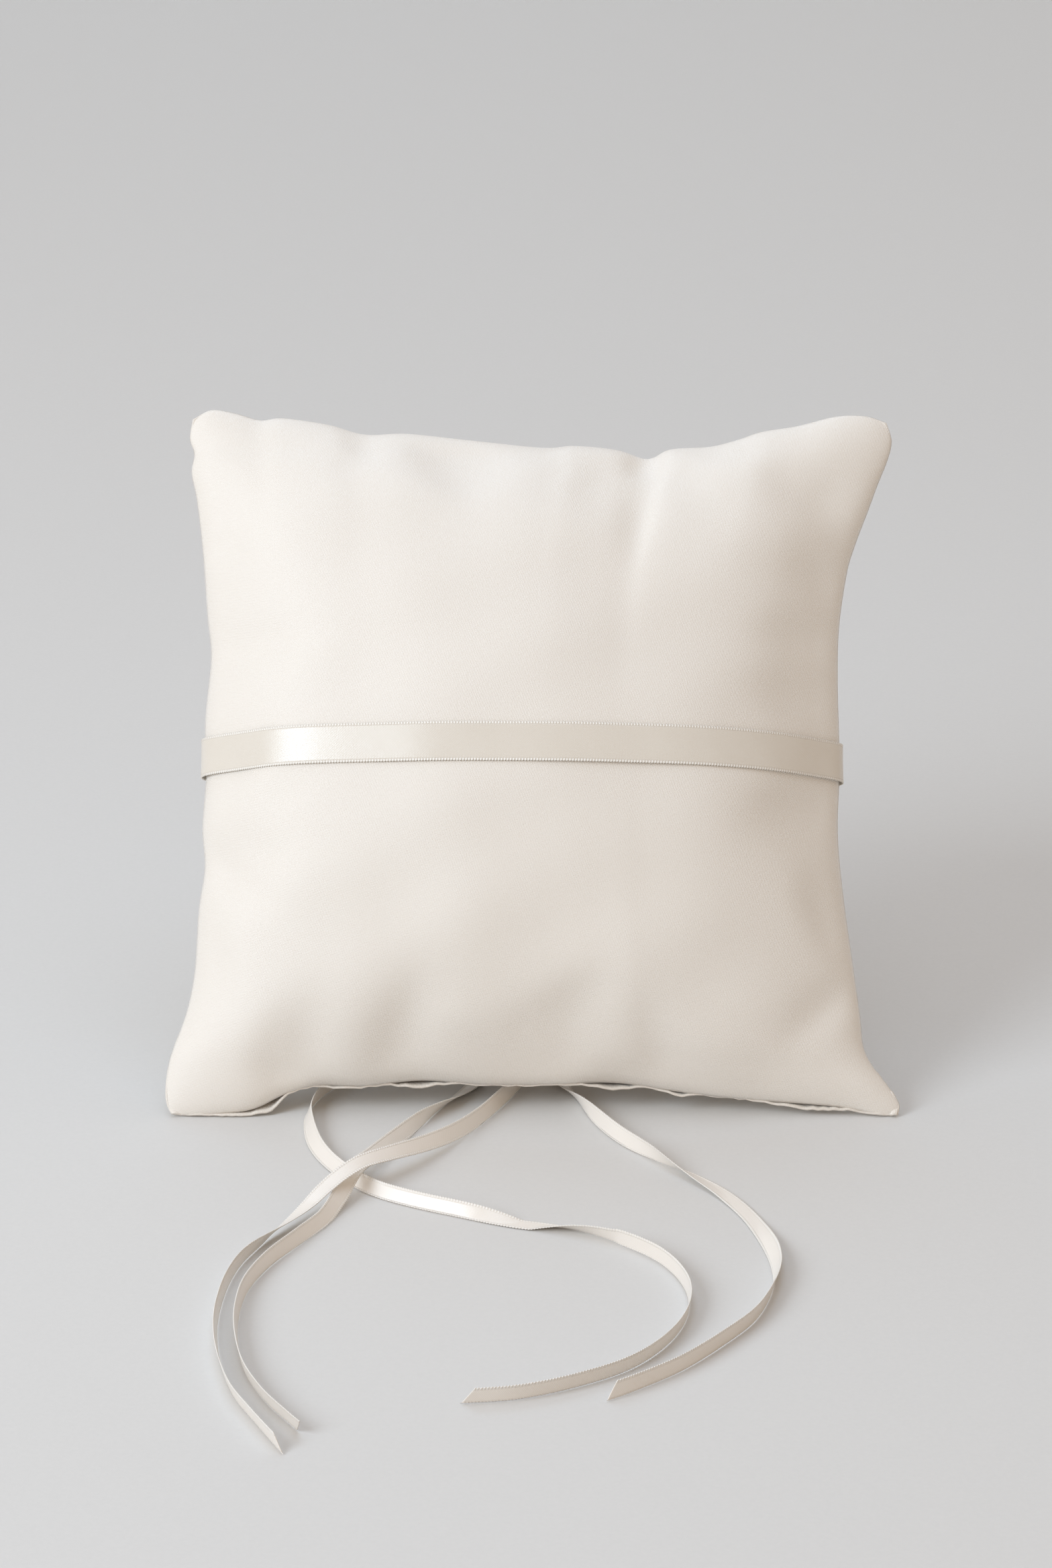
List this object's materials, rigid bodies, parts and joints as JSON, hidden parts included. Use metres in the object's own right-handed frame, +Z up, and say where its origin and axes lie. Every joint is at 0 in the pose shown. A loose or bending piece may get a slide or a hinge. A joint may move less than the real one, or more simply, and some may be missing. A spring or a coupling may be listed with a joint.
{
  "type": "ring bearer pillow",
  "caption": "Small square stuffed satin pillow with a ribbon round its waist, a pleated front with a bow, and narrow ribbon tails that tie wedding rings on.",
  "frame": {"origin": "On the centre plane, where the crown of the pleated front rests on the top front edge of a stand. The surface under the pillow is 76.2 mm below.", "axes": "+X to the right when looking at the plain back, +Y away from the viewer, out of the pleated front, +Z up. The pillow leans back 30.5 degrees about X."},
  "size_m": [0.2, 0.2939, 0.1691],
  "materials": {
    "ivory_satin": "satin",
    "pleated_satin": "satin",
    "satin_ribbon": "satin",
    "ring_ribbon": "satin",
    "polyester_filling": "matte"
  },
  "bodies": {
    "root": {"filling": "polyester_filling", "back_panel": "ivory_satin", "front_base_panel": "ivory_satin", "pleated_front": "pleated_satin", "waist_ribbon": "satin_ribbon", "bow_loop_left": "satin_ribbon", "bow_loop_right": "satin_ribbon", "bow_tail_left": "satin_ribbon", "bow_tail_right": "satin_ribbon", "bow_knot": "satin_ribbon", "ring_ribbon_fold": "ring_ribbon", "ring_tail_1": "ring_ribbon", "ring_tail_2": "ring_ribbon", "ring_tail_3": "ring_ribbon", "ring_tail_4": "ring_ribbon"}
  },
  "joints": []
}
